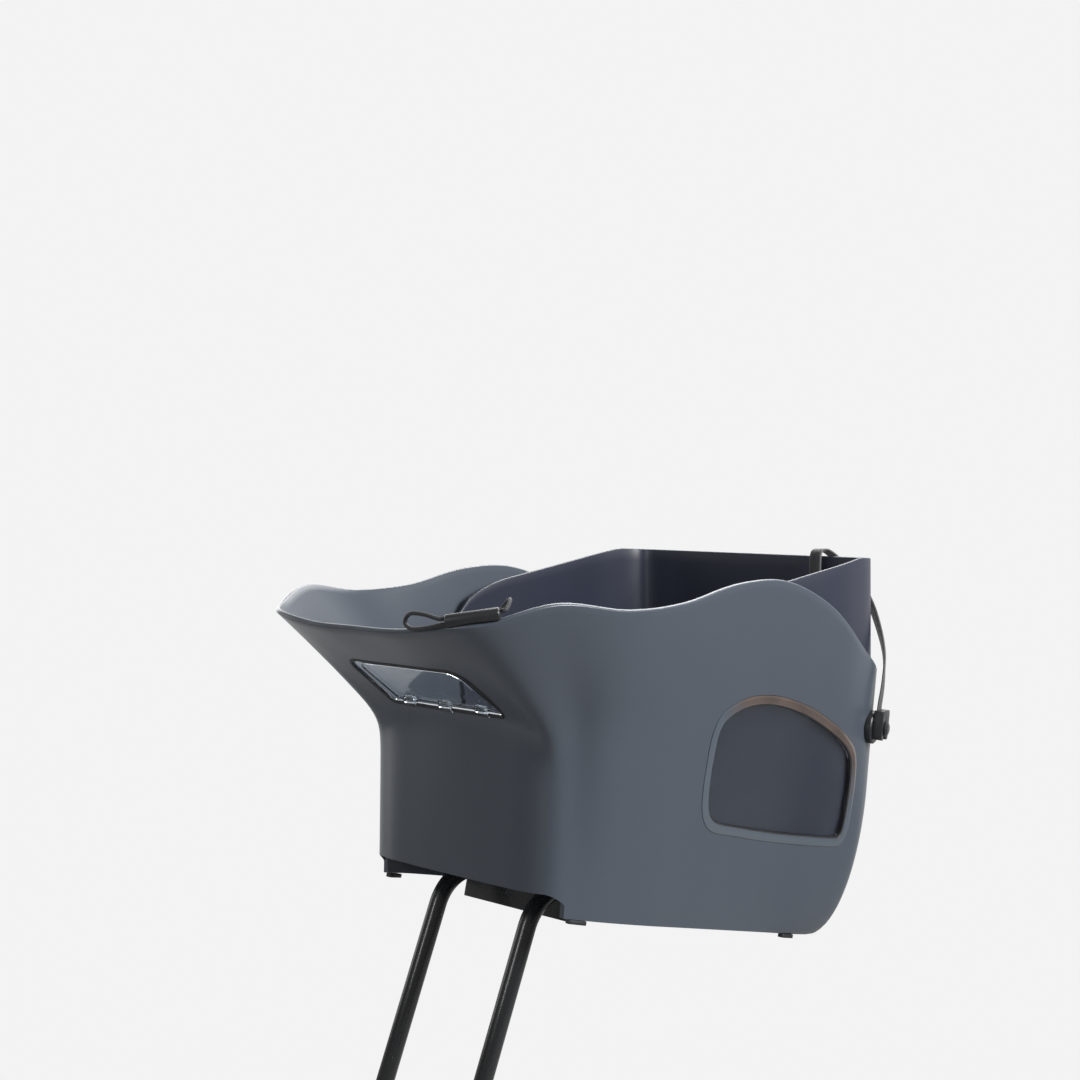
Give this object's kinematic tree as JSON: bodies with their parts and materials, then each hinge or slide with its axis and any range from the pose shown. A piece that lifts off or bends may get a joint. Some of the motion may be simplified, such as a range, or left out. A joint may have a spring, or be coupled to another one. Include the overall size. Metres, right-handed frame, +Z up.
{
  "type": "dog bicycle basket",
  "caption": "Moulded dog carrier tub with a flared front lip, clear windows, a raised back panel, snap-hook tethers and a bent tube that plugs into a bicycle.",
  "frame": {"origin": "midway between the lower ends of the support tube's two legs, where the bicycle's adapter takes them", "axes": "+Z up as mounted, -Y is the front of the basket, +X is the rider's left"},
  "size_m": [0.3116, 0.4785, 0.4653],
  "materials": {
    "shell": "satin grey-blue moulding",
    "panel": "satin navy",
    "lens": "clear polycarbonate",
    "rubber": "black rubber",
    "bezel": "glossy smoked",
    "mat": "charcoal foam",
    "webbing": "woven black",
    "black_steel": "black powder coat",
    "black_plastic": "satin black",
    "bright_steel": "bright"
  },
  "bodies": {
    "basket": {"anchor_screw_left": "bright_steel", "anchor_screw_right": "bright_steel", "back_panel": "panel", "floor_bolt_front_left": "bright_steel", "floor_bolt_front_right": "bright_steel", "floor_bolt_rear_left": "bright_steel", "floor_bolt_rear_right": "bright_steel", "floor_mat": "mat", "foot_front_left": "rubber", "foot_front_right": "rubber", "foot_rear_left": "rubber", "foot_rear_right": "rubber", "front_cross_plate": "black_steel", "front_hook_eye": "black_steel", "front_tether_loop": "webbing", "front_tether_plate": "black_steel", "front_tether_screw": "bright_steel", "front_tether_sleeve": "black_plastic", "front_tether_strap": "webbing", "front_window_gasket": "rubber", "front_window_lens": "lens", "left_window_gasket": "bezel", "left_window_lens": "lens", "nut_front_left": "bright_steel", "nut_front_right": "bright_steel", "nut_rear_left": "bright_steel", "nut_rear_right": "bright_steel", "outer_shell": "shell", "rear_anchor_left": "black_plastic", "rear_anchor_right": "black_plastic", "rear_cross_plate": "black_steel", "rear_hook_eye": "black_steel", "rear_tether_clip": "black_plastic", "rear_tether_strap": "webbing", "right_window_gasket": "bezel", "right_window_lens": "lens", "support_tube": "black_steel", "tube_plug_left": "black_plastic", "tube_plug_right": "black_plastic", "washer_front_left": "bright_steel", "washer_front_right": "bright_steel", "washer_rear_left": "bright_steel", "washer_rear_right": "bright_steel"},
    "front_hook": {"front_hook_body": "black_steel", "front_gate_pin": "bright_steel"},
    "front_gate": {"front_hook_gate": "bright_steel"},
    "rear_hook": {"rear_hook_body": "black_steel", "rear_gate_pin": "bright_steel"},
    "rear_gate": {"rear_hook_gate": "bright_steel"},
    "rear_adjuster": {"rear_tether_adjuster": "black_plastic"}
  },
  "joints": [
    {"name": "front_hook_swivel", "type": "hinge", "parent": "basket", "child": "front_hook", "pos_m": [0.08271, 0.05235, 0.28831], "axis": [0, 0, 1], "continuous": true},
    {"name": "front_gate_hinge", "type": "hinge", "parent": "front_hook", "child": "front_gate", "pos_m": [0.07651, 0.05235, 0.26031], "axis": [0, -1, 0], "range_deg": [0, 18], "stiffness_Nm_per_rad": 0.01, "springref_deg": -5.73},
    {"name": "rear_hook_swivel", "type": "hinge", "parent": "basket", "child": "rear_hook", "pos_m": [0.076, 0.37554, 0.37631], "axis": [0, 0, 1], "continuous": true},
    {"name": "rear_gate_hinge", "type": "hinge", "parent": "rear_hook", "child": "rear_gate", "pos_m": [0.0698, 0.37554, 0.34831], "axis": [0, -1, 0], "range_deg": [0, 18], "stiffness_Nm_per_rad": 0.01, "springref_deg": -5.73},
    {"name": "rear_adjuster_slide", "type": "slide", "parent": "basket", "child": "rear_adjuster", "axis": [0, 0, 1], "range_m": [-0.012, 0.018]}
  ]
}
